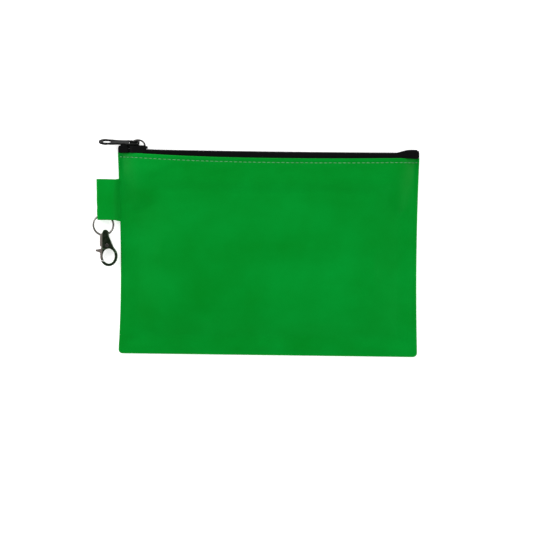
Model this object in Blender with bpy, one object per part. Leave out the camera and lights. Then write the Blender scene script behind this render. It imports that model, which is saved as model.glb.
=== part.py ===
"""Zipped cash deposit bag with a side tab, a wire ring and a lobster clasp.

The bag lies on its back: +X to the right, +Y towards the zip, +Z up, out of
the front panel. The origin is the middle of the back panel's outer face.
"""

from math import cos, pi, radians, sin, sqrt

import bmesh
import bpy
from mathutils import Matrix, Vector

MM = 0.001
FIT_GAP = 0.3  # between pieces that touch on the real bag

# Bag
BAG_HEIGHT = 139.7
BAG_DEPTH = 9.0
WAIST_HALF_WIDTH = 100.8
CORNER_FLARE = 1.9
CORNER_RADIUS = 3.0
SHEET = 0.9
SEAM_FLANGE = 3.0
PANEL_TOP = 65.5
SIDE_RISE = 38.0
TOP_CORNER_RISE = 5.5

# Zip: the chain faces +Y, and its two halves lie either side of CHAIN_Z
CHAIN_TOP = BAG_HEIGHT / 2
CHAIN_Z = BAG_DEPTH / 2
COIL_INNER = 0.6
COIL_OUTER = 2.6
COIL_HEIGHT = 1.9
COIL_LEFT = -96.4
COIL_RIGHT = 93.0
TAPE = 0.6
TAPE_OUTER = 3.3
TAPE_HALF_LENGTH = 102.0
TAPE_END_WIDTH = 3.2
TAPE_END_RISE = 1.7
TAPE_BOTTOM = 54.0
HIDDEN_TAPE_HALF_LENGTH = 88.0
STOP_LENGTH = 1.5

# Slider
SLIDER_LEFT = -96.2
SLIDER_LENGTH = 13.2
SLIDER_HALF_WIDTH = 4.2
PLATE = 1.5
FLANGE = 0.6
LOWER_PLATE = 1.1
BRIDGE_X = -89.6
BRIDGE_HALF_LENGTH = 5.3
BRIDGE_RISE = 4.9
BRIDGE_BAR = 1.2
BRIDGE_HALF_WIDTH = 1.0

# Pull
PULL_PIVOT = Vector((-89.3, 73.8, CHAIN_Z))
PULL_TILT = radians(24)  # its near edge hangs lower
PULL_LIFT = radians(1.5)  # its tip stands higher than the pivot
PULL_THICKNESS = 1.1

# Tab, ring and clasp, all centred at HANG_Z above the table
HANG_Z = 3.6
TAB_LEFT = -117.8
TAB_RIGHT = -102.2
TAB_TOP = 49.0
TAB_BOTTOM = 21.1
TAB_GAP = 3.8
RING_CENTRE = Vector((-112.6, 17.7, HANG_Z))
RING_RADIUS = 6.8
RING_WIRE = 0.75
EYE = Vector((-111.6, 11.3, HANG_Z))
EYE_HOLE = 1.8
CLASP_THICKNESS = 4.6
SLOT_THICKNESS = 2.6
HOOK = Vector((-108.6, -3.5))
HOOK_INNER = (4.2, 5.2)
HOOK_OUTER = (5.9, 6.8)
GATE_PIVOT = Vector((-109.7, 3.8))
GATE_SWEEP = 11.25
PIN_RADIUS = 0.7


def clear_scene():
    for item in list(bpy.data.objects):
        bpy.data.objects.remove(item, do_unlink=True)


def make_material(name, colour, roughness, metallic=0.0):
    material = bpy.data.materials.new(name)
    material.use_nodes = True
    shader = material.node_tree.nodes["Principled BSDF"]
    shader.inputs["Base Color"].default_value = (*colour, 1)
    shader.inputs["Roughness"].default_value = roughness
    shader.inputs["Metallic"].default_value = metallic
    return material


def add_object(name, mesh_data, material=None, smooth=False):
    """Makes an object of a bmesh whose points are in millimetres."""
    bmesh.ops.recalc_face_normals(mesh_data, faces=mesh_data.faces)
    bmesh.ops.scale(mesh_data, vec=(MM, MM, MM), verts=mesh_data.verts)
    mesh = bpy.data.meshes.new(name)
    mesh_data.to_mesh(mesh)
    mesh_data.free()
    if smooth:
        mesh.shade_smooth()
    item = bpy.data.objects.new(name, mesh)
    bpy.context.scene.collection.objects.link(item)
    if material:
        mesh.materials.append(material)
    return item


def prism(outline, low, high, matrix=None):
    """A bmesh of an XY outline that runs from low to high in Z."""
    mesh_data = bmesh.new()
    base = [mesh_data.verts.new((x, y, low)) for x, y in outline]
    face = mesh_data.faces.new(base)
    made = bmesh.ops.extrude_face_region(mesh_data, geom=[face])
    moved = [part for part in made["geom"] if isinstance(part, bmesh.types.BMVert)]
    bmesh.ops.translate(mesh_data, verts=moved, vec=(0, 0, high - low))
    if matrix:
        bmesh.ops.transform(mesh_data, matrix=matrix, verts=mesh_data.verts)
    return mesh_data


def box(low, high):
    (x0, y0, z0), (x1, y1, z1) = low, high
    return prism([(x0, y0), (x1, y0), (x1, y1), (x0, y1)], z0, z1)


def arc(centre, radii, start, end, steps):
    """Points on an ellipse from angle start to angle end, in radians."""
    angles = [start + (end - start) * step / steps for step in range(steps + 1)]
    return [(centre[0] + radii[0] * cos(a), centre[1] + radii[1] * sin(a)) for a in angles]


def circle(centre, radii, steps):
    return arc(centre, radii, 0, 2 * pi, steps)[:-1]


def cylinder(start, end, radius, steps):
    """A bmesh of a round bar between two points."""
    start, end = Vector(start), Vector(end)
    turn = (end - start).to_track_quat("Z", "Y").to_matrix().to_4x4()
    place = Matrix.Translation(start) @ turn
    return prism(circle((0, 0), (radius, radius), steps), 0, (end - start).length, place)


def tube(points, radius, sides, closed=False):
    """A bmesh of a round wire that follows points."""
    mesh_data = bmesh.new()
    count = len(points)
    rings = []
    for index, point in enumerate(points):
        after = points[(index + 1) % count] if closed else points[min(index + 1, count - 1)]
        before = points[index - 1] if closed or index else points[0]
        turn = (after - before).to_track_quat("Z", "Y")
        ring = []
        for side in range(sides):
            angle = 2 * pi * side / sides
            offset = turn @ Vector((radius * cos(angle), radius * sin(angle), 0))
            ring.append(mesh_data.verts.new(point + offset))
        rings.append(ring)
    pairs = list(zip(rings, rings[1:] + rings[:1])) if closed else list(zip(rings, rings[1:]))
    for first, second in pairs:
        for side in range(sides):
            other = (side + 1) % sides
            mesh_data.faces.new((first[side], first[other], second[other], second[side]))
    if not closed:
        mesh_data.faces.new(rings[0])
        mesh_data.faces.new(rings[-1])
    return mesh_data


def combine(target, operation, mesh_data, name):
    """Joins or cuts target with a hidden helper solid."""
    helper = add_object(name, mesh_data)
    helper.hide_render = True
    helper.display_type = "WIRE"
    modifier = target.modifiers.new(name, "BOOLEAN")
    modifier.operation = operation
    modifier.solver = "EXACT"
    modifier.object = helper
    return helper


def smoothstep(low, high, value):
    share = max(0.0, min(1.0, (value - low) / (high - low)))
    return share * share * (3 - 2 * share)


def quarter_wave(share):
    return sin(pi / 2 * max(0.0, min(1.0, share)))


def half_width(y):
    """The bag's half width at a height: a waist, and rounded bottom corners."""
    width = WAIST_HALF_WIDTH + CORNER_FLARE * (y / (BAG_HEIGHT / 2)) ** 2
    above = y + BAG_HEIGHT / 2
    if above < CORNER_RADIUS:
        width -= CORNER_RADIUS - sqrt(CORNER_RADIUS**2 - (CORNER_RADIUS - above) ** 2)
    return width


def front_height(x, y):
    """The front panel's outer face: flat seam flanges that rise to the bag's depth."""
    seam = 2 * SHEET + FIT_GAP
    rise = SIDE_RISE + (TOP_CORNER_RISE - SIDE_RISE) * smoothstep(25, 58, y)
    from_side = quarter_wave((half_width(y) - abs(x) - SEAM_FLANGE) / rise)
    from_bottom = quarter_wave((y + BAG_HEIGHT / 2 - SEAM_FLANGE) / SIDE_RISE)
    return seam + (BAG_DEPTH - seam) * from_side * from_bottom


def panel_mesh(height, thickness, columns, rows):
    """A closed sheet over the bag's outline, height giving its upper face."""
    mesh_data = bmesh.new()
    bottom = -BAG_HEIGHT / 2
    layers = []
    for drop in (0, thickness):
        grid = []
        for row in range(rows + 1):
            y = bottom + (PANEL_TOP - bottom) * (1 - cos(pi / 2 * row / rows))
            line = []
            for column in range(columns + 1):
                x = half_width(y) * sin(pi / 2 * (2 * column / columns - 1))
                line.append(mesh_data.verts.new((x, y, height(x, y) - drop)))
            grid.append(line)
        layers.append(grid)
    for grid in layers:
        for row in range(rows):
            for column in range(columns):
                lower, upper = grid[row], grid[row + 1]
                quad = (lower[column], lower[column + 1], upper[column + 1], upper[column])
                mesh_data.faces.new(quad)
    rims = []
    for grid in layers:
        right = [line[-1] for line in grid[1:]]
        left = [line[0] for line in reversed(grid[1:-1])]
        rims.append(grid[0] + right + list(reversed(grid[-1][:-1])) + left)
    for index in range(len(rims[0])):
        upper, under = rims
        before = index - 1
        mesh_data.faces.new((upper[before], upper[index], under[index], under[before]))
    return mesh_data


def make_panels(vinyl):
    add_object("front_panel", panel_mesh(front_height, SHEET, 28, 18), vinyl, True)
    add_object("back_panel", panel_mesh(lambda x, y: SHEET, SHEET, 12, 8), vinyl)


def make_seam_thread(thread):
    """One run of lockstitch down the left side, along the bottom and up the right."""
    inset, height, radius = 9.0, SHEET + 0.4, 0.15
    low, top = -BAG_HEIGHT / 2 + inset, 52.0
    right_side = [Vector((half_width(y) - inset, y, height)) for y in range(-60, int(top), 8)]
    left_side = [Vector((-point.x, point.y, height)) for point in reversed(right_side)]
    corner = right_side[0].x - 3
    bottom = [Vector((-corner, low, height)), Vector((corner, low, height))]
    points = left_side + bottom + right_side
    add_object("seam_thread", tube(points, radius, 6), thread)


def make_topstitch(thread):
    """The two rows of stitches that hold the tapes, as fine bars.

    The front one lies outside. The back one is the run inside the bag, over its tape.
    """
    y, radius, reach, steps = PANEL_TOP - 2.6, 0.2, 97, 24
    xs = [reach * sin(pi / 2 * (2 * step / steps - 1)) for step in range(steps + 1)]
    lift = FIT_GAP + radius
    points = [Vector((x, y, front_height(x, y) + lift)) for x in xs]
    add_object("topstitch_front", tube(points, radius, 6), thread)
    inside = CHAIN_Z - TAPE_OUTER + TAPE + lift
    end = HIDDEN_TAPE_HALF_LENGTH - 2
    points = [Vector((x, y, inside)) for x in (-end, end)]
    add_object("topstitch_back", tube(points, radius, 6), thread)


def make_tape(name, side, fabric):
    """A zip tape: a shoulder under the coil, a wall down inside the panel, raised ends."""

    def between(inner, outer):
        ends = (CHAIN_Z + side * inner, CHAIN_Z + side * outer)
        return min(ends), max(ends)

    shoulder_top = CHAIN_TOP - COIL_HEIGHT - FIT_GAP
    z0, z1 = between(COIL_INNER, TAPE_OUTER)
    low = (-TAPE_HALF_LENGTH, shoulder_top - TAPE, z0)
    high = (TAPE_HALF_LENGTH, shoulder_top, z1)
    tape = add_object(name, box(low, high), fabric)
    z0, z1 = between(TAPE_OUTER - TAPE, TAPE_OUTER)
    hidden, full, step = HIDDEN_TAPE_HALF_LENGTH, TAPE_HALF_LENGTH, PANEL_TOP + FIT_GAP
    outline = [(-hidden, TAPE_BOTTOM), (hidden, TAPE_BOTTOM), (hidden, step), (full, step)]
    outline += [(full, shoulder_top - 0.1), (-full, shoulder_top - 0.1)]
    outline += [(-full, step), (-hidden, step)]
    combine(tape, "UNION", prism(outline, z0, z1), name + "_wall")
    for end in (-1, 1):
        z0, z1 = between(0.5, TAPE_OUTER - 0.1)
        xs = sorted((end * (full - 0.1), end * (full - TAPE_END_WIDTH)))
        block = box((xs[0], shoulder_top - TAPE / 2, z0), (xs[1], CHAIN_TOP + TAPE_END_RISE, z1))
        combine(tape, "UNION", block, f"{name}_end{end}")


def make_zip(fabric, nylon, metal):
    for name, side in (("front", 1), ("back", -1)):
        make_tape(name + "_tape", side, fabric)
        zs = sorted((CHAIN_Z + side * COIL_INNER, CHAIN_Z + side * COIL_OUTER))
        low = (COIL_LEFT, CHAIN_TOP - COIL_HEIGHT, zs[0])
        add_object(name + "_coil", box(low, (COIL_RIGHT, CHAIN_TOP, zs[1])), nylon)
        right = COIL_LEFT - FIT_GAP
        low = (right - STOP_LENGTH, CHAIN_TOP - COIL_HEIGHT, zs[0])
        add_object("top_stop_" + name, box(low, (right, CHAIN_TOP + 0.2, zs[1])), metal)
    left = COIL_RIGHT + FIT_GAP + 0.4
    low = (left, CHAIN_TOP - COIL_HEIGHT, CHAIN_Z - COIL_OUTER)
    high = (left + 2 * STOP_LENGTH, CHAIN_TOP + 0.4, CHAIN_Z + COIL_OUTER)
    add_object("bottom_stop", box(low, high), metal)


def zip_plane():
    """Turns an outline drawn along the zip and across it to lie flat under the chain."""
    return Matrix.Rotation(radians(-90), 4, "X")


def slider_outline(half, shrink):
    """The heart shape of a slider plate, nose to the left."""
    left, right = SLIDER_LEFT + shrink, SLIDER_LEFT + SLIDER_LENGTH - shrink
    tail = half - 0.5
    outline = arc((left + 3, 0), (3, half), pi / 2, 3 * pi / 2, 12)
    outline += arc((right - 1.5, 0), (1.5, tail), -pi / 2, pi / 2, 8)
    return outline


def make_slider(metal):
    plate_low = CHAIN_TOP + FIT_GAP
    lower_top = CHAIN_TOP - COIL_HEIGHT - FIT_GAP - TAPE - FIT_GAP
    place = Matrix.Translation((0, 0, CHAIN_Z)) @ zip_plane()
    flange_low = lower_top + 0.2
    whole = slider_outline(SLIDER_HALF_WIDTH, 0)
    body = add_object("slider_body", prism(whole, flange_low, plate_low + PLATE, place), metal)
    channel = SLIDER_HALF_WIDTH - FLANGE
    low = (SLIDER_LEFT - 5, flange_low - 1, CHAIN_Z - channel + 0.05)
    high = (SLIDER_LEFT + SLIDER_LENGTH + 5, plate_low, CHAIN_Z + channel - 0.05)
    combine(body, "DIFFERENCE", box(low, high), "slider_channel")
    lower = prism(slider_outline(2.3, 0.6), lower_top - LOWER_PLATE, lower_top, place)
    post_low = (SLIDER_LEFT + 0.7, lower_top - 0.5, CHAIN_Z - 0.3)
    post_high = (SLIDER_LEFT + 4.2, plate_low + 0.5, CHAIN_Z + 0.3)
    combine(body, "UNION", box(post_low, post_high), "slider_post")
    combine(body, "UNION", lower, "slider_lower_plate")
    foot = plate_low + PLATE + FIT_GAP
    rise = BRIDGE_RISE - FIT_GAP
    centre = (BRIDGE_X, foot)
    outline = arc(centre, (BRIDGE_HALF_LENGTH, rise), 0, pi, 16)
    inner = (BRIDGE_HALF_LENGTH - BRIDGE_BAR, rise - BRIDGE_BAR)
    outline += arc(centre, inner, pi, 0, 16)
    z0, z1 = CHAIN_Z - BRIDGE_HALF_WIDTH, CHAIN_Z + BRIDGE_HALF_WIDTH
    add_object("slider_bridge", prism(outline, z0, z1), metal)


def rounded_box(centre, half, radius, steps=5):
    """A rectangle outline with round corners."""
    cx, cy = centre
    corners = ((1, 1, 0), (-1, 1, 1), (-1, -1, 2), (1, -1, 3))
    points = []
    for sx, sy, quarter in corners:
        middle = (cx + sx * (half[0] - radius), cy + sy * (half[1] - radius))
        start = quarter * pi / 2
        points += arc(middle, (radius, radius), start, start + pi / 2, steps)
    return points


def make_pull(metal):
    """The pull points along -X from its crossbar, its near edge tipped down."""
    across = Vector((0, -sin(PULL_TILT), cos(PULL_TILT)))
    along = Matrix.Rotation(-PULL_LIFT, 3, across) @ Vector((-1, 0, 0))
    normal = along.cross(across)
    axes = Matrix((along, across, normal)).transposed().to_4x4()
    place = Matrix.Translation(PULL_PIVOT) @ axes
    upper = [(-0.65, 3.0), (-0.1, 3.6), (7.2, 3.6), (10.5, 3.1), (14.5, 3.2), (18.5, 3.9)]
    tip = arc((22.4, 0), (4.7, 4.3), radians(115), radians(-115), 18)
    lower = [(u, -w) for u, w in reversed(upper)]
    half = PULL_THICKNESS / 2
    outline = upper + tip + lower
    pull = add_object("pull_tab", prism(outline, -half, half, place), metal)
    small = prism(rounded_box((3.55, 0), (2.9, 2.3), 0.5, 3), -2, 2, place)
    combine(pull, "DIFFERENCE", small, "pull_small_hole")
    large = prism(rounded_box((21.6, 0), (2.7, 2.8), 2.0), -2, 2, place)
    combine(pull, "DIFFERENCE", large, "pull_large_hole")


def tab_outline(inset):
    """The folded strip's section: round at the fold, drawn together at the seam."""
    half = TAB_GAP / 2 + SHEET - inset
    fold = (TAB_LEFT + TAB_GAP / 2 + SHEET, HANG_Z)
    points = arc(fold, (half, half), pi / 2, 3 * pi / 2, 12)
    end = TAB_RIGHT - 1.2 * inset
    seam = 1.0 if inset == 0 else 0.15
    points += [(end - 4, HANG_Z - half), (end, HANG_Z - seam - 0.6)]
    points += [(end, HANG_Z + seam - 0.2), (end - 4, HANG_Z + half)]
    return points


def make_tab(vinyl, thread):
    place = Matrix.Translation((0, TAB_BOTTOM, 0)) @ Matrix.Rotation(radians(90), 4, "X")
    turn = place @ Matrix.Scale(-1, 4, (0, 0, 1))
    length = TAB_TOP - TAB_BOTTOM
    tab = add_object("tab_loop", prism(tab_outline(0), 0, length, turn), vinyl)
    hollow = prism(tab_outline(SHEET), -1, length + 1, turn)
    combine(tab, "DIFFERENCE", hollow, "tab_tunnel")
    gape = TAB_GAP / 2 + 0.05
    low = (TAB_LEFT - 2, TAB_BOTTOM - 2, HANG_Z - gape)
    high = (TAB_LEFT + TAB_GAP / 2 + SHEET, TAB_BOTTOM + 3.6, HANG_Z + gape)
    combine(tab, "DIFFERENCE", box(low, high), "tab_fold_notch")
    reach = TAB_GAP / 2 - FIT_GAP
    low = (RING_CENTRE.x - 3, TAB_BOTTOM + 0.8, HANG_Z - reach)
    high = (RING_CENTRE.x + 3, TAB_BOTTOM + 1.5, HANG_Z + reach)
    add_object("tab_bartack", box(low, high), thread)


def make_ring(metal):
    steps = 40
    points = []
    for step in range(steps):
        angle = 2 * pi * step / steps
        points.append(RING_CENTRE + Vector((cos(angle), sin(angle), 0)) * RING_RADIUS)
    add_object("ring", tube(points, RING_WIRE, 10, closed=True), metal, True)


def make_clasp_body(metal):
    """A cross-drilled eye, two cheeks with a slot between them, and the hook."""
    low, high = HANG_Z - CLASP_THICKNESS / 2, HANG_Z + CLASP_THICKNESS / 2
    eye_top = arc((EYE.x + 0.6, EYE.y + 1.4), (1.9, 1.75), 0, pi, 8)
    left_side = [(-114.6, 10.6), (-114.6, 3.6), (-111.5, 0.6)]
    right_side = [(-103.6, -1.0), (-105.9, 3.6), (-108.9, 10.4)]
    shoulder = prism(eye_top + left_side + right_side, low, high)
    body = add_object("clasp_body", shoulder, metal)
    steps = 40
    rim = prism(circle(HOOK, HOOK_OUTER, steps), HANG_Z - 1.5, HANG_Z + 1.5)
    combine(body, "UNION", rim, "clasp_rim")
    window = prism(circle(HOOK, HOOK_INNER, steps), low - 1, high + 1)
    combine(body, "DIFFERENCE", window, "clasp_window")
    sweep = [tuple(GATE_PIVOT)]
    sweep += arc(GATE_PIVOT, (GATE_SWEEP, GATE_SWEEP), radians(180), radians(262), 14)
    reach = combine(body, "DIFFERENCE", prism(sweep, low - 2, high + 2), "gate_sweep")
    neck = box((-120, 1.2, low - 3), (-100, 12, high + 3))
    combine(reach, "DIFFERENCE", neck, "gate_sweep_top")
    half_slot = SLOT_THICKNESS / 2
    slot = [(-119, -5), (-119, 4.8), (-112.6, 6.4), (-107.4, 6.4), (-107.4, 0.4), (-108.5, -5)]
    combine(body, "DIFFERENCE", prism(slot, HANG_Z - half_slot, HANG_Z + half_slot), "gate_slot")
    drill = cylinder(EYE - Vector((6, 0, 0)), EYE + Vector((6, 0, 0)), EYE_HOLE, 20)
    combine(body, "DIFFERENCE", drill, "eye_hole")
    start = (*GATE_PIVOT, low - 1)
    bore = cylinder(start, (*GATE_PIVOT, high + 1), PIN_RADIUS + FIT_GAP, 16)
    combine(body, "DIFFERENCE", bore, "pin_hole")


def make_gate(metal):
    """The lever: a hub on the pin, a thumb trigger, and an arm that closes the hook."""
    low = HANG_Z - SLOT_THICKNESS / 2 + FIT_GAP
    high = low + 1.2
    hub = arc(GATE_PIVOT, (2.0, 2.0), radians(-20), radians(130), 10)
    trigger = [(-113.6, 3.2), (-114.2, 1.4), (-117.5, 0.9), (-117.7, -0.3), (-114.6, -1.2)]
    outer = arc(HOOK, HOOK_OUTER, radians(176), radians(204), 5)
    inner = arc(HOOK, HOOK_INNER, radians(220), radians(128), 14)
    arm = trigger + outer + inner
    gate = add_object("clasp_gate", prism(hub + arm, low, high), metal)
    start = (*GATE_PIVOT, low - 1)
    bore = cylinder(start, (*GATE_PIVOT, high + 1), PIN_RADIUS + 0.25, 16)
    combine(gate, "DIFFERENCE", bore, "gate_bore")


def make_clasp_pin(metal):
    """A rivet through both cheeks, with a low head on each side."""
    half = CLASP_THICKNESS / 2 + 0.2
    low, high = HANG_Z - half, HANG_Z + half
    head = 0.5
    start, end = (*GATE_PIVOT, low - head / 2), (*GATE_PIVOT, high + head / 2)
    pin = add_object("clasp_pin", cylinder(start, end, PIN_RADIUS, 16), metal)
    for name, base in (("lower", low - head), ("upper", high)):
        bar = cylinder((*GATE_PIVOT, base), (*GATE_PIVOT, base + head), 1.2, 16)
        combine(pin, "UNION", bar, f"pin_head_{name}")


def make_clasp_spring(steel):
    """A small torsion spring round the pin, above the gate's hub."""
    turns, per_turn, wire, radius = 1.6, 14, 0.14, 1.25
    base = HANG_Z + SLOT_THICKNESS / 2 - 0.95
    points = []
    for step in range(int(turns * per_turn) + 1):
        angle = 2 * pi * step / per_turn
        lift = base + 0.36 * step / per_turn
        x, y = GATE_PIVOT.x + radius * cos(angle), GATE_PIVOT.y + radius * sin(angle)
        points.append(Vector((x, y, lift)))
    add_object("clasp_spring", tube(points, wire, 6), steel)


def main():
    clear_scene()
    vinyl = make_material("green_vinyl", (0.0, 0.26, 0.03), 0.55)
    thread = make_material("green_thread", (0.06, 0.36, 0.08), 0.7)
    fabric = make_material("black_tape", (0.008, 0.008, 0.009), 0.85)
    nylon = make_material("black_nylon", (0.01, 0.01, 0.011), 0.45)
    enamel = make_material("black_enamel", (0.012, 0.012, 0.013), 0.3, 0.6)
    nickel = make_material("dark_nickel", (0.32, 0.31, 0.3), 0.25, 1.0)
    make_panels(vinyl)
    make_seam_thread(thread)
    make_topstitch(thread)
    make_zip(fabric, nylon, enamel)
    make_slider(enamel)
    make_pull(enamel)
    make_tab(vinyl, thread)
    make_ring(nickel)
    make_clasp_body(nickel)
    make_gate(nickel)
    make_clasp_pin(nickel)
    make_clasp_spring(nickel)


main()
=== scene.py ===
from math import cos, exp, pi, radians, sin, sqrt

import bmesh
import bpy
from mathutils import Matrix, Vector, noise


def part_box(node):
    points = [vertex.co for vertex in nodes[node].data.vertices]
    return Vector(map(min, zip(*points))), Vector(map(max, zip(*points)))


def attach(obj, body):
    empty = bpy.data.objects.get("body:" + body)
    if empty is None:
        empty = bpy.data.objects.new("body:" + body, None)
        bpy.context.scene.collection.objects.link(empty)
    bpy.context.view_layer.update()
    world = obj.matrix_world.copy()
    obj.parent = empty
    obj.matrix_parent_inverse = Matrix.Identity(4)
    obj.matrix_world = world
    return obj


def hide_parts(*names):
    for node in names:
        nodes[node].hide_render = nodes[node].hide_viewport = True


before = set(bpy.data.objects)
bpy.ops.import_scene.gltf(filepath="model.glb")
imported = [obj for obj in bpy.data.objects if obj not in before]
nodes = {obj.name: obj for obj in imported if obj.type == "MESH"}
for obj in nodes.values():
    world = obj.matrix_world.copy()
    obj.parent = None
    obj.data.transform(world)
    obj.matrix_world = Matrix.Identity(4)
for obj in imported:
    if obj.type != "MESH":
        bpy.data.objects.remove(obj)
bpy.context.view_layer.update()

scene = bpy.context.scene
mm = 0.001  # sizes below are millimetres

bag = {
    "bottom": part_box("front_panel")[0].y / mm,
    "halfHeight": 69.85,
    "waist": 100.8,  # half width at the middle
    "flare": 1.9,  # how much wider each side is at top and bottom
    "corner": 3.0,
    "depth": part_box("front_panel")[1].z / mm,
    "seamLevel": 1.05,  # height of the side and bottom seam
    "flange": 2.1,  # height of the front where the seam is sewn flat
    "rise": 38.0,
    "topRise": 13.0,
    "edgeRound": 1.1,
}


def smoothStep(low, high, value):
    share = max(0.0, min(1.0, (value - low) / (high - low)))
    return share * share * (3 - 2 * share)


def quarterWave(share):
    return sin(pi / 2 * max(0.0, min(1.0, share)))


def rounded(distance, radius):  # 0 at an edge, 1 where its rounding ends
    left = 1 - min(max(distance, 0.0), radius) / radius
    return sqrt(1 - left * left)


def bump(distance, width):
    return exp(-((distance / width) ** 2))


def ripple(x, y, wave, seed):  # soft uneven waves from -1 to 1
    return noise.noise(Vector((x / wave, y / wave, seed)))


def wander(x, y):  # the sewn sides stray a little from their even curve
    height = y / bag["halfHeight"]
    side = 0.1 - 1.75 * height + 0.6 * height**3 if x < 0 else 0.2 + 0.6 * (1 - height * height)
    return side * smoothStep(60, 96, abs(x))


def halfWidth(y):
    width = bag["waist"] + bag["flare"] * (y / bag["halfHeight"]) ** 2
    above = y - bag["bottom"]
    if above < bag["corner"]:
        width -= bag["corner"] - sqrt(bag["corner"] ** 2 - (bag["corner"] - max(above, 0)) ** 2)
    return width


class Link:  # one node socket, so that shader maths reads as plain sums
    def __init__(self, finish, socket):
        self.finish, self.socket = finish, socket

    def combine(self, operation, first, second):
        return self.finish.node("ShaderNodeMath", {"operation": operation}, {0: first, 1: second})

    def __add__(self, other):
        return self.combine("ADD", self, other)

    def __radd__(self, other):
        return self.combine("ADD", other, self)

    def __sub__(self, other):
        return self.combine("SUBTRACT", self, other)

    def __rsub__(self, other):
        return self.combine("SUBTRACT", other, self)

    def __mul__(self, other):
        return self.combine("MULTIPLY", self, other)

    def __rmul__(self, other):
        return self.combine("MULTIPLY", other, self)


class Finish:  # a material with its node tree
    def __init__(self, name, fixed):
        self.material = bpy.data.materials.new(name)
        self.material.use_nodes = True
        self.tree = self.material.node_tree
        self.shader = self.tree.nodes["Principled BSDF"]
        for socket, value in fixed.items():
            self.shader.inputs[socket].default_value = value
        self.place = self.node("ShaderNodeTexCoord", output="Object")

    def node(self, kind, settings=None, values=None, output=0):
        made = self.tree.nodes.new(kind)
        for key, value in (settings or {}).items():
            setattr(made, key, value)
        for key, value in (values or {}).items():
            if isinstance(value, Link):
                self.tree.links.new(value.socket, made.inputs[key])
            else:
                made.inputs[key].default_value = value
        return Link(self, made.outputs[output])

    def noise(self, size, detail=2.0, rough=0.5):  # size of a lump in millimetres
        values = {"Vector": self.place, "Scale": 1 / (size * mm), "Detail": detail, "Roughness": rough}
        return self.node("ShaderNodeTexNoise", None, values, "Fac")

    def ramp(self, value, low, high):  # spreads low..high over 0..1
        return self.node("ShaderNodeMapRange", None, {"Value": value, "From Min": low, "From Max": high})

    def mix(self, share, first, second):
        values = {0: share, 6: (*first, 1) if isinstance(first, tuple) else first, 7: (*second, 1)}
        return self.node("ShaderNodeMix", {"data_type": "RGBA"}, values, 2)

    def feed(self, socket, link):
        self.tree.links.new(link.socket, self.shader.inputs[socket])

    def relief(self, height, depth, strength=1.0):  # depth in millimetres
        values = {"Height": height, "Distance": depth * mm, "Strength": strength}
        self.feed("Normal", self.node("ShaderNodeBump", None, values, "Normal"))


def addPiece(name, points, faces, material, smooth=True):
    mesh = bpy.data.meshes.new(name)
    mesh.from_pydata([(x * mm, y * mm, z * mm) for x, y, z in points], [], faces)
    return addMesh(name, mesh, material, smooth)


def addMesh(name, mesh, material, smooth=True):
    mesh.name = name
    mesh.materials.clear()
    mesh.materials.append(material)
    mesh.polygons.foreach_set("use_smooth", [smooth] * len(mesh.polygons))
    item = bpy.data.objects.new(name, mesh)
    scene.collection.objects.link(item)
    return item


def bake(item):  # turns a piece with its modifiers into a plain mesh
    bpy.context.view_layer.update()
    evaluated = item.evaluated_get(bpy.context.evaluated_depsgraph_get())
    mesh = bpy.data.meshes.new_from_object(evaluated)
    item.modifiers.clear()
    if item.type == "MESH":
        item.data = mesh
        return item
    made = bpy.data.objects.new(item.name, mesh)
    scene.collection.objects.link(made)
    name = item.name
    bpy.data.objects.remove(item)
    made.name = name
    return made


def thicken(item, thickness, offset=-1.0):
    solid = item.modifiers.new("thickness", "SOLIDIFY")
    solid.thickness = thickness * mm
    solid.offset = offset
    return bake(item)


def place(item, body, slot, *replaced):
    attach(item, body)
    if replaced:
        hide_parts(*replaced)
    return item


def mergedCopy(source):
    shape = bmesh.new()
    shape.from_mesh(nodes[source].data)
    bmesh.ops.remove_doubles(shape, verts=shape.verts, dist=1e-6)
    return shape


def machined(source, name, material, width, steps=3):  # a node's shape with its sharp edges rounded
    shape = mergedCopy(source)
    bmesh.ops.dissolve_limit(shape, angle_limit=radians(1), verts=shape.verts, edges=shape.edges)
    mesh = bpy.data.meshes.new(name)
    shape.to_mesh(mesh)
    shape.free()
    item = addMesh(name, mesh, material)
    bevel = item.modifiers.new("rounding", "BEVEL")
    bevel.width, bevel.segments, bevel.limit_method = width * mm, steps, "ANGLE"
    bevel.angle_limit, bevel.harden_normals = radians(35), True
    return bake(item)


def cast(source, name, material, voxel, rounds, fill):  # a node's shape with the soft edges of a casting
    shape = mergedCopy(source)
    mesh = bpy.data.meshes.new(name)
    shape.to_mesh(mesh)
    shape.free()
    item = addMesh(name, mesh, material)
    remesh = item.modifiers.new("voxels", "REMESH")
    remesh.mode, remesh.voxel_size, remesh.use_smooth_shade = "VOXEL", voxel * mm, True
    soften = item.modifiers.new("soften", "SMOOTH")
    soften.factor, soften.iterations = 0.5, rounds
    refill = item.modifiers.new("refill", "DISPLACE")  # gives back what the smoothing takes from thin places
    refill.mid_level, refill.strength = 0.0, fill * mm
    return bake(item)

view = {
    "aim": (-0.9, -9.2),  # millimetres
    "distance": 1.5,
    "span": 0.3646,  # metres across the picture
    "roll": 0.75,  # degrees: the bag's right end sits a little lower
    "sensor": 36.0,
}


def addCamera():
    data = bpy.data.cameras.new("camera")
    data.sensor_width = view["sensor"]
    data.lens = view["sensor"] * view["distance"] / view["span"]
    camera = bpy.data.objects.new("camera", data)
    camera.location = (view["aim"][0] * mm, view["aim"][1] * mm, view["distance"])
    camera.rotation_euler = (0, 0, radians(view["roll"]))
    scene.collection.objects.link(camera)
    scene.camera = camera


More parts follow.
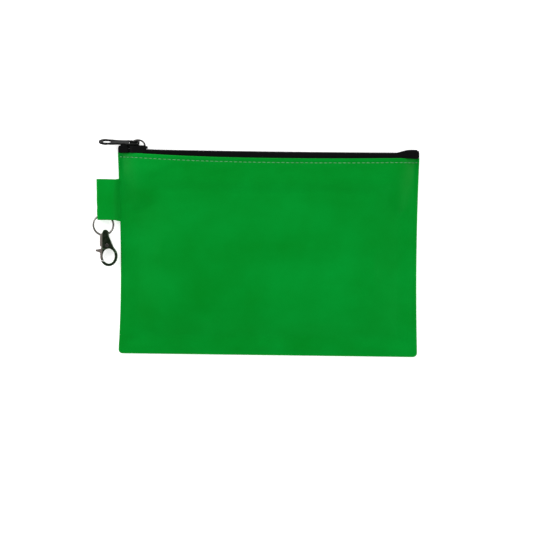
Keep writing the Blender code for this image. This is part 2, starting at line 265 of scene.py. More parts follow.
studio = {
    "paper": (0.92, 0.92, 0.92, 1),
    "glow": 0.6,  # the paper's own light, which keeps its shadows pale
    "reach": 3000,
    "level": -0.15,  # just under the bag
    "roomLight": (1.25, 0.05),  # strength at the walls and at the ceiling
    "fade": (0.45, 0.93),  # where, as the height of a direction, walls turn into ceiling
    "softboxes": {  # place, aim, size and power
        "key": ((-0.55, 0.5, 0.75), (-0.03, 0.02, 0), (0.7, 0.5), 4.2),
        "fill": ((0.75, -0.35, 0.7), (0, 0, 0), (0.6, 0.6), 2.2),
        "rim": ((0.1, 0.85, 0.35), (0, 0.03, 0), (0.9, 0.25), 1.4),
    },
}


def addSoftbox(name, location, target, size, power):
    data = bpy.data.lights.new(name, "AREA")
    data.shape, data.size, data.size_y, data.energy = "RECTANGLE", size[0], size[1], power
    lamp = bpy.data.objects.new(name, data)
    lamp.location = location
    lamp.rotation_euler = (Vector(target) - Vector(location)).to_track_quat("-Z", "Y").to_euler()
    scene.collection.objects.link(lamp)


def addStudio():
    scene.view_settings.view_transform = "Standard"
    world = bpy.data.worlds.new("studio")
    world.use_nodes = True
    tree = world.node_tree  # a white room whose ceiling over the bag is dark
    direction = tree.nodes.new("ShaderNodeTexCoord")
    parts = tree.nodes.new("ShaderNodeSeparateXYZ")
    fade = tree.nodes.new("ShaderNodeMapRange")
    for socket, value in zip(("From Min", "From Max"), studio["fade"]):
        fade.inputs[socket].default_value = value
    for socket, value in zip(("To Min", "To Max"), studio["roomLight"]):
        fade.inputs[socket].default_value = value
    tree.links.new(direction.outputs["Generated"], parts.inputs[0])
    tree.links.new(parts.outputs["Z"], fade.inputs["Value"])
    tree.links.new(fade.outputs[0], tree.nodes["Background"].inputs["Strength"])
    tree.nodes["Background"].inputs["Color"].default_value = (1, 1, 1, 1)
    scene.world = world
    plain = {"Base Color": studio["paper"], "Roughness": 0.9, "Specular IOR Level": 0.0}
    paper = Finish("paper", {**plain, "Emission Color": (1, 1, 1, 1), "Emission Strength": studio["glow"]})
    reach, level = studio["reach"], studio["level"]
    corners = [(-reach, -reach, level), (reach, -reach, level), (reach, reach, level), (-reach, reach, level)]
    floor = addPiece("floor", corners, [(0, 1, 2, 3)], paper.material, False)
    for name, settings in studio["softboxes"].items():
        addSoftbox(name, *settings)


addCamera()
addStudio()
print("camera, floor and lights are set")


vinyl = {
    "deep": (0.0003, 0.222, 0.012),
    "fresh": (0.0006, 0.29, 0.026),
    "pore": (0.0004, 0.17, 0.011),
    "cloud": 34,  # millimetres across one lighter or darker patch
    "pebble": 0.62,
    "fineGrain": 0.25,
    "grainDepth": 0.055,
    "roughness": 0.46,
    "fixed": {"IOR": 1.46, "Specular IOR Level": 0.2, "Specular Tint": (0.1, 1, 0.3, 1)},
}


def vinylFinish(name, tone=1.0):
    finish = Finish(name, vinyl["fixed"])
    cloudy = finish.noise(vinyl["cloud"], 3, 0.55)
    streaky = finish.node("ShaderNodeMapping", None, {"Vector": finish.place, "Scale": (9, 42, 30)})
    streaks = finish.node("ShaderNodeTexNoise", None, {"Vector": streaky, "Scale": 1.0, "Detail": 3.0}, "Fac")
    tint = finish.ramp(cloudy * 0.65 + streaks * 0.35, 0.3, 0.72)
    deep, fresh = [(red, green * tone, blue * tone) for red, green, blue in (vinyl["deep"], vinyl["fresh"])]
    values = {"Vector": finish.place, "Scale": 1 / (vinyl["pebble"] * mm), "Smoothness": 0.6}
    pores = finish.node("ShaderNodeTexVoronoi", {"feature": "SMOOTH_F1"}, values, "Distance")
    fine = finish.noise(vinyl["fineGrain"], 2, 0.6)
    soft = finish.noise(6, 3, 0.5)
    grain = pores * 0.7 + fine * 0.35
    shaded = finish.mix(tint, deep, fresh)
    finish.feed("Base Color", finish.mix(finish.ramp(grain, 0.85, 0.1) * 0.22, shaded, vinyl["pore"]))
    finish.feed("Roughness", finish.ramp(soft, 0.2, 0.8) * 0.14 + vinyl["roughness"])
    finish.relief(grain, vinyl["grainDepth"], 0.75)
    return finish.material


def threadFinish():
    finish = Finish("paleGreenThread", {"Roughness": 0.7, "Sheen Weight": 0.3})
    twist = finish.node("ShaderNodeMapping", None, {"Vector": finish.place, "Rotation": (0, 0, radians(35))})
    values = {"Vector": twist, "Scale": 1 / (1.3 * mm)}
    plies = finish.node("ShaderNodeTexWave", None, values, "Fac")
    finish.feed("Base Color", finish.mix(plies, (0.03, 0.29, 0.07), (0.13, 0.45, 0.18)))
    finish.relief(plies, 0.06)
    return finish.material


def tapeFinish():
    finish = Finish("blackWovenTape", {"Sheen Weight": 0.01, "Specular IOR Level": 0.03})

    def yarns(lean):  # one of the two ways that the yarns run
        values = {"Vector": finish.place, "Rotation": (radians(45 * lean), 0, radians(40 * lean))}
        turned = finish.node("ShaderNodeMapping", None, values)
        return finish.node("ShaderNodeTexWave", None, {"Vector": turned, "Scale": 1 / (2.0 * mm)}, "Fac")

    weave = yarns(1) * 0.6 + yarns(-1) * 0.4
    finish.feed("Base Color", finish.mix(weave, (0.0016, 0.0016, 0.0018), (0.0062, 0.0062, 0.0068)))
    finish.feed("Roughness", finish.noise(3) * 0.15 + 0.75)
    finish.relief(weave, 0.08)
    return finish.material


def nylonFinish():
    finish = Finish("blackNylonCoil", {"Specular IOR Level": 0.22})
    worn = finish.noise(4, 3)
    finish.feed("Base Color", finish.mix(worn, (0.003, 0.003, 0.0033), (0.010, 0.010, 0.011)))
    finish.feed("Roughness", finish.noise(0.8) * 0.2 + 0.3)
    finish.relief(finish.noise(0.3), 0.01)
    return finish.material


def enamelFinish(name, gloss, edge):
    finish = Finish(name, {"Specular IOR Level": gloss})
    worn = finish.ramp(finish.noise(1.4, 5, 0.7), edge, edge + 0.12)
    finish.feed("Base Color", finish.mix(worn, (0.003, 0.003, 0.0033), (0.16, 0.155, 0.15)))
    finish.feed("Metallic", worn * 0.9)
    finish.feed("Roughness", finish.noise(0.9, 3) * 0.2 + 0.44 - worn * 0.2)
    finish.relief(finish.noise(0.7, 3), 0.012)
    return finish.material


def nickelFinish(name, dark, light, rough, paintedHighlightSide=None):
    finish = Finish(name, {"Metallic": 1.0})
    cloud = finish.noise(2.6, 4, 0.6)
    shade = finish.mix(finish.ramp(cloud, 0.3, 0.7), dark, light)
    if paintedHighlightSide:  # left of this line the colour is a painted highlight, pale pinkish grey and less metallic
        across = finish.node("ShaderNodeSeparateXYZ", None, {0: finish.place}, "X")
        ragged = across + finish.noise(1.5, 3) * 0.6 * mm
        paintedHighlight = finish.ramp(ragged, (paintedHighlightSide + 0.7) * mm, (paintedHighlightSide - 0.2) * mm)
        # painted highlight: this pinkish grey stands in for light caught on the clasp's left side
        shade = finish.mix(paintedHighlight * 0.85, shade, (0.21, 0.17, 0.16))
        finish.feed("Metallic", 1 - paintedHighlight * 0.8)
    finish.feed("Base Color", shade)
    finish.feed("Roughness", finish.noise(0.6, 4, 0.65) * 0.16 + rough)
    finish.relief(finish.noise(0.35, 3), 0.006)
    return finish.material


greenVinyl = vinylFinish("greenVinyl")
tabVinyl = vinylFinish("tabVinyl", 1.04)
greenThread = threadFinish()
wovenTape = tapeFinish()
coilNylon = nylonFinish()
blackEnamel = enamelFinish("blackEnamel", 0.07, 0.7)
crownEnamel = enamelFinish("crownEnamel", 0.5, 0.36)  # rubbed bare by the pull
ringNickel = nickelFinish("ringNickel", (0.16, 0.15, 0.14), (0.30, 0.29, 0.27), 0.2)
# the clasp's metal: its green tint is a painted reflection of the green bag, and left of x = -113 mm it
# carries a painted highlight
gunMetalPaintedReflection = nickelFinish("gunMetalPaintedReflection", (0.03, 0.08, 0.03), (0.17, 0.22, 0.15), 0.16, -113.0)
print("finishes are made")

panel = {
    "thickness": 0.6,
    "edgeSteps": [0, 0.06, 0.2, 0.45, 0.75, 1.1, 1.6, 2.3, 3.2, 4.2, 5.4],  # distances from a sewn edge
    "hemSteps": [6.2, 5.2, 4.4, 3.9, 3.55, 3.3, 3.1, 2.9, 2.7, 2.4, 2.0, 1.5, 1.05, 0.7, 0.42, 0.2, 0.06, 0],
    "columns": 110,
    "rows": 72,
    "edgeMiddle": 64.7,  # height of the front's upper edge half way along the zip
    "leftLift": 2.9,
    "rightLift": 1.4,
    "stitchInset": 3.1,
    "stitchGroove": 0.28,
    "backTop": 65.3,
    "seamGap": 0.06,
    "cut": (0.2032, 0.1365),  # metres, before sewing
}


def frontTop(x):  # the upper edge dips between the ends of the zip
    share = (x + 102) / 204
    left, right = max(0.0, 1 - 2 * share), max(0.0, 2 * share - 1)
    return panel["edgeMiddle"] + panel["leftLift"] * left**2.3 + panel["rightLift"] * right**2


def backTop(x):
    return panel["backTop"] - 0.4 * cos(pi / 2 * max(-1, min(1, x / 100)))


def plainHeight(x, y):  # the stuffed shape before any wrinkle
    rise = bag["rise"] + (bag["topRise"] - bag["rise"]) * smoothStep(25, 58, y)
    side = quarterWave((halfWidth(y) - abs(x) - 3) / rise)
    low = quarterWave((y - bag["bottom"] - 3) / bag["rise"])
    return bag["flange"] + (bag["depth"] - bag["flange"]) * side * low


settling = {
    "columns": 84,
    "rows": 58,
    "scale": 10.0,  # the sheet settles at ten times its size, where the solver is steady
    "inset": 2.4,  # the sewn line, inside the outline
    "frames": 18,
    "cap": 1.6,  # furthest that any point may move
    "sewnGroup": "sewn",
}


def settleFront():  # lets a slightly oversize sheet of vinyl buckle between its seams
    columns, rows, scale, inset = (settling[name] for name in ("columns", "rows", "scale", "inset"))
    points, faces, held = [], [], []
    low, high = bag["bottom"] + inset, panel["edgeMiddle"] - panel["stitchInset"]
    for row in range(rows + 1):
        y = low + (high - low) * row / rows
        for column in range(columns + 1):
            x = (halfWidth(y) - inset) * (2 * column / columns - 1)
            if row in (0, rows) or column in (0, columns):
                held.append(len(points))
            lift = 0.25 * ripple(x, y, 14, 3.7)
            points.append((x * scale, y * scale, (plainHeight(x, y) + lift) * scale))
    for row in range(rows):
        for column in range(columns):
            first = row * (columns + 1) + column
            faces.append((first, first + 1, first + columns + 2, first + columns + 1))
    sheet = addPiece("settling", points, faces, greenVinyl)
    sheet.vertex_groups.new(name=settling["sewnGroup"]).add(held, 1.0, "REPLACE")
    cloth = sheet.modifiers.new("vinyl", "CLOTH")
    settings = cloth.settings
    settings.quality, settings.mass, settings.time_scale = 7, 0.6, 1.0
    settings.tension_stiffness = settings.compression_stiffness = 25
    settings.shear_stiffness, settings.bending_stiffness, settings.air_damping = 12, 6, 4
    settings.shrink_min = -0.012
    settings.vertex_group_mass = settling["sewnGroup"]
    settings.effector_weights.gravity = 0.15
    settings.use_pressure, settings.uniform_pressure_force = True, 0.35
    for frameNumber in range(1, settling["frames"] + 1):
        scene.frame_set(frameNumber)
    bake(sheet)
    scene.frame_set(1)
    moves, cap = [], settling["cap"]
    for row in range(rows + 1):
        span = slice(row * (columns + 1), (row + 1) * (columns + 1))
        pairs = zip(sheet.data.vertices[span], points[span])
        rises = [(vertex.co.z / mm - start[2]) / scale for vertex, start in pairs]
        moves.append([max(-cap, min(cap, rise)) for rise in rises])
    bpy.data.objects.remove(sheet)

    def settled(x, y):
        across = (x / (halfWidth(y) - inset) + 1) / 2 * columns
        up = (y - low) / (high - low) * rows
        if not (0 <= across < columns and 0 <= up < rows):
            return 0.0
        column, row = int(across), int(up)
        u, v = across - column, up - row
        first = moves[row][column] * (1 - u) + moves[row][column + 1] * u
        second = moves[row + 1][column] * (1 - u) + moves[row + 1][column + 1] * u
        return first * (1 - v) + second * v

    return settled


def panelGrid(topEdge):  # rows of (x, y) that crowd towards the sewn edges
    edge, hem = panel["edgeSteps"], panel["hemSteps"]
    inner = [2 * step / panel["columns"] - 1 for step in range(1, panel["columns"])]
    columns = [(-1, d) for d in edge] + [(s, None) for s in inner] + [(1, d) for d in reversed(edge)]
    span = topEdge(0) - hem[0] - bag["bottom"] - edge[-1]
    middle = [(step / panel["rows"], None) for step in range(1, panel["rows"])]
    rows = [(0, d) for d in edge] + middle + [(1, d) for d in hem]
    grid = []
    for share, distance in rows:
        guess = bag["bottom"] + edge[-1] + span * share
        if distance is not None:
            guess = bag["bottom"] + distance if share == 0 else topEdge(0) - distance
        wide = halfWidth(guess)
        line = []
        for side, inset in columns:
            x = side * (wide - edge[-1]) if inset is None else side * (wide - inset)
            top = topEdge(x)
            y = guess
            if distance is None:
                y = bag["bottom"] + edge[-1] + (top - hem[0] - bag["bottom"] - edge[-1]) * share
            elif share == 1:
                y = top - distance
            line.append((x, y))
        grid.append(line)
    return grid


def sheetFromGrid(name, grid, height, material, flip=False):
    width = len(grid[0])
    points = [(x + wander(x, y), y, height(x, y)) for line in grid for x, y in line]
    faces = []
    for row in range(len(grid) - 1):
        for column in range(width - 1):
            first = row * width + column
            quad = (first, first + 1, first + width + 1, first + width)
            faces.append(tuple(reversed(quad)) if flip else quad)
    return addPiece(name, points, faces, material)


def makePanels():
    settled = settleFront()
    radius = bag["edgeRound"]

    def frontFace(x, y):
        edge = min(halfWidth(y) - abs(x), y - bag["bottom"])
        hem = frontTop(x) - y
        inside = smoothStep(2, 14, min(edge, hem))
        flat = plainHeight(x, y)
        z = flat + inside * (settled(x, y) + 0.30 * ripple(x, y, 33, 1.3) + 0.12 * ripple(x, y, 12, 5.1))
        z = max(z, flat - 2 + 1.6 * smoothStep(38, 50, y))  # the tape inside holds it up
        z += 0.7 * smoothStep(66.2, 67.2, frontTop(x)) * smoothStep(9, 2, hem)  # rides over the slider
        beside = smoothStep(9, 4, edge) * smoothStep(1, 3, edge)
        z += 0.10 * ripple(x, y, 5, 8.0) * beside  # puckers at the seam
        z -= panel["stitchGroove"] * bump(hem - panel["stitchInset"], 0.55)
        z -= (1 - rounded(hem, 0.9)) * 0.8
        bottom = bag["seamLevel"] + panel["seamGap"]
        return bottom + max(0.0, z - bottom) * rounded(edge, radius)

    def backFace(x, y):
        edge = min(halfWidth(y) - abs(x), y - bag["bottom"])
        hem = backTop(x) - y
        inside = smoothStep(2, 14, min(edge, hem))
        z = inside * (0.12 + 0.12 * ripple(x, y, 30, 4.4))
        z += panel["stitchGroove"] * bump(hem - panel["stitchInset"], 0.55)
        z += (1 - rounded(hem, 0.9)) * 0.7
        top = bag["seamLevel"] - panel["seamGap"]
        return top + (min(z, top) - top) * rounded(edge, radius)

    front = sheetFromGrid("frontVinyl", panelGrid(frontTop), frontFace, greenVinyl)
    back = sheetFromGrid("backVinyl", panelGrid(backTop), backFace, greenVinyl, True)
    for item, node in ((front, "front_panel"), (back, "back_panel")):
        thicken(item, panel["thickness"])
        place(item, "bag", "vinyl", node)
    return frontFace, backFace


frontFace, backFace = makePanels()
print("vinyl panels are sewn")

stitch = {"pitch": 3.2, "length": 2.5, "radius": 0.24}


def stitchTree():
    tree = bpy.data.node_groups.new("stitchRow", "GeometryNodeTree")
    face = tree.interface
    face.new_socket("Line", in_out="INPUT", socket_type="NodeSocketGeometry")
    for name in ("Pitch", "Length", "Radius"):
        face.new_socket(name, in_out="INPUT", socket_type="NodeSocketFloat")
    face.new_socket("Thread", in_out="INPUT", socket_type="NodeSocketMaterial")
    face.new_socket("Stitches", in_out="OUTPUT", socket_type="NodeSocketGeometry")
    add, link = tree.nodes.new, tree.links.new
    given, out = add("NodeGroupInput"), add("NodeGroupOutput")
    spaced = add("GeometryNodeResampleCurve")
    spaced.mode = "LENGTH"
    link(given.outputs["Line"], spaced.inputs["Curve"])
    link(given.outputs["Pitch"], spaced.inputs["Length"])
    bead = add("GeometryNodeMeshUVSphere")
    bead.inputs["Segments"].default_value, bead.inputs["Rings"].default_value = 8, 6
    bead.inputs["Radius"].default_value = 1.0
    size = add("ShaderNodeCombineXYZ")
    half = add("ShaderNodeMath")
    half.operation = "MULTIPLY"
    half.inputs[1].default_value = 0.5
    link(given.outputs["Length"], half.inputs[0])
    link(half.outputs[0], size.inputs["Z"])
    for axis in "XY":
        link(given.outputs["Radius"], size.inputs[axis])
    along = add("FunctionNodeAlignRotationToVector")
    along.axis = "Z"
    link(add("GeometryNodeInputTangent").outputs[0], along.inputs["Vector"])
    laid = add("GeometryNodeInstanceOnPoints")
    link(spaced.outputs[0], laid.inputs["Points"])
    link(bead.outputs["Mesh"], laid.inputs["Instance"])
    link(along.outputs[0], laid.inputs["Rotation"])
    link(size.outputs[0], laid.inputs["Scale"])
    real = add("GeometryNodeRealizeInstances")
    link(laid.outputs[0], real.inputs[0])
    coloured = add("GeometryNodeSetMaterial")
    link(real.outputs[0], coloured.inputs["Geometry"])
    link(given.outputs["Thread"], coloured.inputs["Material"])
    link(coloured.outputs[0], out.inputs[0])
    return tree


def setInputs(modifier, values):
    for item in modifier.node_group.interface.items_tree:
        if item.item_type == "SOCKET" and item.in_out == "INPUT" and item.name in values:
            modifier[item.identifier] = values[item.name]


def lineCurve(name, points):
    data = bpy.data.curves.new(name, "CURVE")
    data.dimensions = "3D"
    spline = data.splines.new("POLY")
    spline.points.add(len(points) - 1)
    for point, (x, y, z) in zip(spline.points, points):
        point.co = (x * mm, y * mm, z * mm, 1)
    item = bpy.data.objects.new(name, data)
    scene.collection.objects.link(item)
    return item


def makeStitches():
    tree = stitchTree()

    def row(name, body, replaced, points):
        item = lineCurve(name, points)
        modifier = item.modifiers.new("stitches", "NODES")
        modifier.node_group = tree
        sizes = {name: stitch[name.lower()] * mm for name in ("Pitch", "Length", "Radius")}
        setInputs(modifier, {"Thread": greenThread, **sizes})
        made = bake(item)
        made.data.polygons.foreach_set("use_smooth", [True] * len(made.data.polygons))
        place(made, body, "thread", replaced)

    xs = [-100.4 + 200.8 * step / 200 for step in range(201)]

    def along(topEdge, face, lift):
        ys = [topEdge(x) - panel["stitchInset"] for x in xs]
        return [(x + wander(x, y), y, face(x, y) + lift) for x, y in zip(xs, ys)]

    row("frontStitches", "bag", "topstitch_front", along(frontTop, frontFace, 0.08))
    row("backStitches", "bag", "topstitch_back", along(backTop, backFace, -0.08))
    nodes["seam_thread"].data.materials.clear()
    nodes["seam_thread"].data.materials.append(greenThread)
    nodes["tab_bartack"].data.materials.clear()
    nodes["tab_bartack"].data.materials.append(greenThread)


makeStitches()
print("stitches are laid")

zipSize = {
    "level": 4.5,  # height of the chain's middle above the table
    "top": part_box("front_coil")[1].y / mm,
    "coilLeft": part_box("front_coil")[0].x / mm,
    "coilRight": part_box("front_coil")[1].x / mm,
    "coilHalfHeight": 0.95,
    "coilOuter": 2.42,
    "coilInner": 0.08,
    "pitch": 1.25,
    "wire": 0.36,
    "core": (0.42, 0.75),  # half height and half width of the filler cord
    "sag": 0.45,  # how far the chain's middle dips
    "leftLift": 0.2,
}


def chainSag(x):
    share = max(-1.0, min(1.0, x / 96))
    return -zipSize["sag"] * cos(pi / 2 * share) + zipSize["leftLift"] * smoothStep(-70, -96, x)


def coilTree():
    tree = bpy.data.node_groups.new("zipCoil", "GeometryNodeTree")
    face = tree.interface
    for name in ("Turns", "Length", "Wire"):
        face.new_socket(name, in_out="INPUT", socket_type="NodeSocketFloat")
    for name in ("Half Size", "Start"):
        face.new_socket(name, in_out="INPUT", socket_type="NodeSocketVector")
    face.new_socket("Nylon", in_out="INPUT", socket_type="NodeSocketMaterial")
    face.new_socket("Coil", in_out="OUTPUT", socket_type="NodeSocketGeometry")
    add, link = tree.nodes.new, tree.links.new
    given, out = add("NodeGroupInput"), add("NodeGroupOutput")
    turns = add("GeometryNodeCurveSpiral")
    turns.inputs["Resolution"].default_value = 14
    turns.inputs["Start Radius"].default_value = turns.inputs["End Radius"].default_value = 1.0
    link(given.outputs["Turns"], turns.inputs["Rotations"])
    link(given.outputs["Length"], turns.inputs["Height"])
    flat = add("GeometryNodeTransform")
    flat.inputs["Rotation"].default_value = (0, pi / 2, 0)
    link(turns.outputs[0], flat.inputs["Geometry"])
    link(given.outputs["Half Size"], flat.inputs["Scale"])
    link(given.outputs["Start"], flat.inputs["Translation"])
    wire = add("GeometryNodeCurvePrimitiveCircle")
    wire.inputs["Resolution"].default_value = 6
    link(given.outputs["Wire"], wire.inputs["Radius"])
    body = add("GeometryNodeCurveToMesh")
    body.inputs["Fill Caps"].default_value = True
    link(flat.outputs[0], body.inputs["Curve"])
    link(wire.outputs[0], body.inputs["Profile Curve"])
    real = add("GeometryNodeRealizeInstances")
    link(body.outputs[0], real.inputs[0])
    coloured = add("GeometryNodeSetMaterial")
    link(real.outputs[0], coloured.inputs["Geometry"])
    link(given.outputs["Nylon"], coloured.inputs["Material"])
    link(coloured.outputs[0], out.inputs[0])
    return tree


def makeCoils():
    tree = coilTree()
    length = zipSize["coilRight"] - zipSize["coilLeft"] - 1.2
    wire = zipSize["wire"]
    halfWide = (zipSize["coilOuter"] - zipSize["coilInner"]) / 2 - wire
    centre = zipSize["coilInner"] + wire + halfWide
    halfHigh = zipSize["coilHalfHeight"] - wire
    for name, side, shift in (("front", 1, 0), ("back", -1, zipSize["pitch"] / 2)):
        item = addPiece(name + "CoilTurns", [], [], coilNylon)
        modifier = item.modifiers.new("coil", "NODES")
        modifier.node_group = tree
        start = (zipSize["coilLeft"] + 0.4 + shift, zipSize["top"] - zipSize["coilHalfHeight"],
                 zipSize["level"] + side * centre)
        setInputs(modifier, {
            "Turns": length / zipSize["pitch"],
            "Length": length * mm,
            "Wire": wire * mm,
            "Nylon": coilNylon,
            "Half Size": (halfWide * mm, halfHigh * mm, 1),
            "Start": [v * mm for v in start],
        })
        item = bake(item)
        for vertex in item.data.vertices:
            vertex.co.y += chainSag(vertex.co.x / mm) * mm
        item.data.polygons.foreach_set("use_smooth", [True] * len(item.data.polygons))
        place(item, "bag", "zip_coil", name + "_coil")
        makeCore(name, side * centre)


def makeCore(name, offset):  # the filler cord that runs through a coil
    sides, steps = 10, 95
    high, wide = zipSize["core"]
    points, faces = [], []
    for step in range(steps + 1):
        x = zipSize["coilLeft"] + 0.3 + (zipSize["coilRight"] - zipSize["coilLeft"] - 0.6) * step / steps
        y = zipSize["top"] - zipSize["coilHalfHeight"] + chainSag(x)
        for side in range(sides):
            angle = 2 * pi * side / sides
            points.append((x, y + high * cos(angle), zipSize["level"] + offset + wide * sin(angle)))
    for step in range(steps):
        for side in range(sides):
            first, other = step * sides + side, step * sides + (side + 1) % sides
            faces.append((first, other, other + sides, first + sides))
    faces += [tuple(reversed(range(sides))), tuple(range(steps * sides, (steps + 1) * sides))]
    place(addPiece(name + "CoilCore", points, faces, wovenTape), "bag", "zip_coil")


tape = {
    "half": 101.4,
    "thickness": 0.5,
    "cut": (0.204, 0.0185),  # metres
    "step": 2.0,
    "wallOut": 3.0,  # distance from the chain's middle, where the tape is sewn to the panel
    "wallHeights": (56, 59, 62, 64, 65, 65.8, 66.6),
    "fold": [(67.6, 3.02), (68.4, 3.02), (68.85, 2.95), (68.95, 2.8), (68.8, 2.65), (68.3, 2.58)],
    "tuck": [(67.7, 2.55), (67.42, 2.4), (67.38, 1.6), (67.38, 0.8)],  # down and in to the coil
    "leftTurn": (2.9, -95.4, -96.5),  # rise, and where along the zip it starts and ends
    "rightTurn": (2.4, 84, 96),
    "tailMiddle": (-99.6, 98.7),
    "tailTop": (71.8, 70.9),
    "tailHalf": (2.9, 1.0),  # along and across the zip
    "tailOut": 2.35,
}


def makeTapes():
    path = [(y, tape["wallOut"]) for y in tape["wallHeights"]] + tape["fold"] + tape["tuck"]
    half, step = tape["half"], tape["step"]
    turns = (tape["leftTurn"], tape["rightTurn"])
    count = round(2 * half / step)
    for name, side in (("front", 1), ("back", -1)):
        points, faces = [], []
        for column in range(count + 1):
            x = -half + step * column
            for y, out in path:
                room = plainHeight(x, min(y, 64)) - 1.0 - zipSize["level"] if side > 0 else out
                out += min(0.0, room - out) * smoothStep(1.0, -0.5, y - frontTop(x))  # flat at the side seams
                turned = sum(rise * smoothStep(start, end, x) for rise, start, end in turns)
                y += turned * smoothStep(67.6, 68.8, y)  # both ends turn up
                level = zipSize["level"] + side * (out + 0.05 * ripple(x, y, 9, side))
                points.append((x, y + chainSag(x) * smoothStep(62, 67, y), level))
        for column in range(count):
            for row in range(len(path) - 1):
                first = column * len(path) + row
                quad = (first, first + len(path), first + len(path) + 1, first + 1)
                faces.append(quad if side > 0 else tuple(reversed(quad)))
        item = addPiece(name + "TapeWeb", points, faces, wovenTape)
        thicken(item, tape["thickness"], 0)
        place(item, "bag", "zip_tape", name + "_tape")
        for end, middle, top in zip(("Left", "Right"), tape["tailMiddle"], tape["tailTop"]):
            makeTail(name + "Tail" + end, middle, side, top)


def makeTail(name, middle, side, top):  # the end of a tape, turned up and tacked
    shape = bmesh.new()
    bmesh.ops.create_cube(shape, size=1)
    bmesh.ops.subdivide_edges(shape, edges=shape.edges, cuts=5, use_grid_fill=True)
    low = frontTop(100 if middle > 0 else -100) + 0.1
    centre = Vector((middle, (low + top) / 2, zipSize["level"] + side * tape["tailOut"]))
    half = Vector((tape["tailHalf"][0], (top - low) / 2, tape["tailHalf"][1]))
    for vertex in shape.verts:
        unit = vertex.co * 2
        ball = unit.normalized() * max(abs(unit.x), abs(unit.y), abs(unit.z))
        soft = unit.lerp(ball, 0.55 + 0.45 * min(0.0, unit.y))
        wave = 1 + 0.06 * noise.noise(unit * 1.7 + centre)
        vertex.co = Vector([(centre[i] + soft[i] * half[i] * 1.22 * wave) * mm for i in range(3)])
    mesh = bpy.data.meshes.new(name)
    shape.to_mesh(mesh)
    shape.free()
    item = addMesh(name, mesh, wovenTape)
    finer = item.modifiers.new("finer", "SUBSURF")
    finer.levels = finer.render_levels = 1
    place(bake(item), "bag", "zip_tape")


metalWork = {
    "clipRounding": 0.3,
    "sliderVoxel": 0.13,
    "sliderRounds": 4,
    "sliderFill": 0.03,
    "crownRounding": 0.3,
    "pullRounding": 0.28,
}


def makeZipMetal():
    for node in ("top_stop_front", "top_stop_back", "bottom_stop"):
        clip = machined(node, node.replace("_", "") + "Clip", blackEnamel, metalWork["clipRounding"])
        place(clip, "bag", "zip_metal", node)
    voxel, rounds, fill = (metalWork["slider" + name] for name in ("Voxel", "Rounds", "Fill"))
    casting = cast("slider_body", "sliderCasting", blackEnamel, voxel, rounds, fill)
    place(casting, "slider", "zip_metal", "slider_body")
    makeLug()
    crown = machined("slider_bridge", "sliderCrown", crownEnamel, metalWork["crownRounding"], 4)
    place(crown, "slider", "zip_metal", "slider_bridge")
    pull = machined("pull_tab", "pullPlate", blackEnamel, metalWork["pullRounding"], 4)
    place(pull, "pull", "zip_metal", "pull_tab")


lug = {  # blocks on the slider: distance right of its left end and above its top, then half sizes
    "pad": ((6.0, -0.1), (6.1, 0.75, 1.5)),
    "foot": ((3.5, 1.6), (2.6, 2.1, 1.05)),  # fills the crown's left end, inside the pull's hole
    "nose": ((0.7, 0.2), (2.3, 1.15, 1.05)),
    "rounding": 0.5,
}


def makeLug():  # the raised pad on the slider that the crown stands on
    low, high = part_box("slider_body")
    shape = bmesh.new()
    for block in ("pad", "foot", "nose"):
        (right, up), halves = lug[block]
        middle = Vector((low.x + right * mm, high.y + up * mm, (low.z + high.z) / 2))
        matrix = Matrix.Translation(middle) @ Matrix.Diagonal((*(Vector(halves) * mm), 1))
        corners = bmesh.ops.create_cube(shape, size=2)["verts"]
        bmesh.ops.transform(shape, matrix=matrix, verts=corners)
    mesh = bpy.data.meshes.new("sliderLug")
    shape.to_mesh(mesh)
    shape.free()
    item = addMesh("sliderLug", mesh, blackEnamel)
    bevel = item.modifiers.new("rounding", "BEVEL")
    bevel.width, bevel.segments = lug["rounding"] * mm, 4
    place(bake(item), "slider", "zip_metal")


makeCoils()
makeTapes()
makeZipMetal()
print("zip is built")

tab = {
    "low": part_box("tab_loop")[0].y / mm,
    "high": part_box("tab_loop")[1].y / mm,
    "thickness": 0.8,
    "under": 1.25,  # heights of the strip's two layers above the table
    "over": 5.95,
    "slant": 1.1,  # how far the fold leans in at its lower end
    "notch": (3.4, 0.9, 1.9),  # opening in the fold for the ring: up, across and half high
    "rim": 0.18,
    "rows": 30,
    "cut": (0.0365, 0.0279),  # metres, before it is folded
}


def smoothPath(points, rounds):  # cuts corners, keeps the ends
    for _ in range(rounds):
        cut = [points[0]]
        for first, second in zip(points, points[1:]):
            cut.append(tuple(a * 0.75 + b * 0.25 for a, b in zip(first, second)))
            cut.append(tuple(a * 0.25 + b * 0.75 for a, b in zip(first, second)))
        points = cut + [points[-1]]
    return points


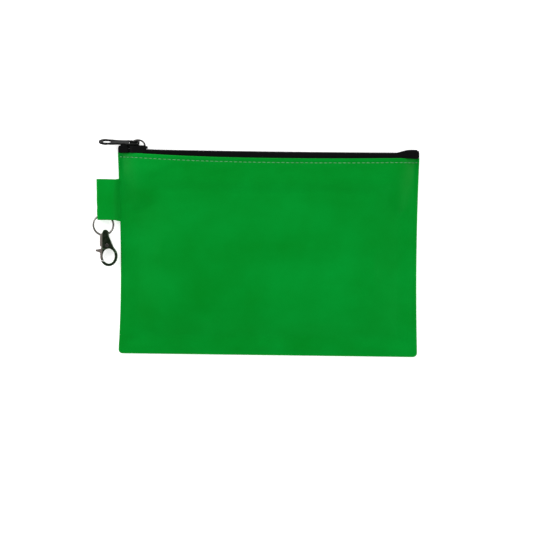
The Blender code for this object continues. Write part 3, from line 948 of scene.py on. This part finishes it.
def makeTab():
    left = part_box("tab_loop")[0].x / mm + tab["thickness"] / 2
    low, high, rows = tab["under"], tab["over"], tab["rows"]
    middle = (low + high) / 2
    upper = [(-100.6, 1.35), (-101.9, 1.6), (-103.6, 3.6), (-105.6, 5.5), (-109, high), (-114.6, high)]
    lower = [(-114.6, low), (-109, low), (-105.6, low), (-103, 0.95), (-100.6, 0.75)]
    path = smoothPath(upper + [(left, high), (left, middle), (left, low)] + lower, 3)
    points, faces = [], []
    for row in range(rows + 1):
        share = row / rows
        y = tab["low"] + (tab["high"] - tab["low"]) * share
        for x, z in path:
            flare = 0.7 * smoothStep(-105, -101.4, x) * (2 * share - 1)
            fold = smoothStep(-110, left, x)
            pinch = 0.25 * bump(y - tab["low"] - 5, 2.5)  # the edge draws in a little
            waver = fold * (tab["slant"] * (1 - share) + 0.35 * ripple(0, y, 8, 2.2) - pinch)
            dent = 0.25 * ripple(x, y, 9, 6.3) * smoothStep(-103, -106, x) * (1 if z > middle else 0.4)
            points.append((x + waver, y + flare + 0.15 * ripple(x, y, 10, 9.1), z + dent))
    width = len(path)
    up, across, halfHigh = tab["notch"]
    for row in range(rows):
        for column in range(width - 1):
            first = row * width + column
            x, y, z = points[first]
            if y < tab["low"] + up and x < left + across and abs(z - middle) < halfHigh:
                continue  # the opening in the fold that the ring passes through
            faces.append((first, first + width, first + width + 1, first + 1))
    item = addPiece("foldedTab", points, faces, tabVinyl)
    shape = bmesh.new()
    shape.from_mesh(item.data)
    loose = [v for v in shape.verts if not v.link_faces]
    bmesh.ops.delete(shape, geom=loose, context="VERTS")
    shape.to_mesh(item.data)
    shape.free()
    thicken(item, tab["thickness"], 0)
    rim = item.modifiers.new("rim", "BEVEL")
    rim.width, rim.segments = tab["rim"] * mm, 2
    rim.limit_method, rim.angle_limit = "ANGLE", radians(50)
    place(bake(item), "bag", "vinyl", "tab_loop")


ringSteps = {"around": 96, "wire": 16}


def makeRing():
    low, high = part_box("ring")
    centre, wire = (low + high) / 2, (high.z - low.z) / 2
    radius = (high.x - low.x) / 2 - wire
    turns, sides = ringSteps["around"], ringSteps["wire"]
    points, faces = [], []
    for step in range(turns):
        angle = 2 * pi * step / turns + pi / 2
        for side in range(sides):
            around = 2 * pi * side / sides
            reach = radius + wire * cos(around)
            spot = centre + Vector((reach * cos(angle), reach * sin(angle), wire * sin(around)))
            points.append(tuple(spot / mm))
            here, after, beside = step * sides, (step + 1) % turns * sides, (side + 1) % sides
            faces.append((here + side, after + side, after + beside, here + beside))
    place(addPiece("wireRing", points, faces, ringNickel), "ring", "nickel", "ring")


clasp = {"voxel": 0.15, "rounds": 14, "fill": 0.15, "rounding": 0.22}


def makeClasp():
    casting = cast("clasp_body", "claspCasting", gunMetalPaintedReflection, clasp["voxel"], clasp["rounds"], clasp["fill"])
    place(casting, "clasp", "nickel", "clasp_body")
    place(machined("clasp_pin", "claspRivet", ringNickel, clasp["rounding"]), "clasp", "nickel", "clasp_pin")
    place(machined("clasp_gate", "claspLever", gunMetalPaintedReflection, clasp["rounding"]), "gate", "nickel", "clasp_gate")
    nodes["clasp_spring"].data.materials.clear()
    nodes["clasp_spring"].data.materials.append(ringNickel)


makeTab()
makeRing()
makeClasp()
print("tab, ring and clasp are fitted")
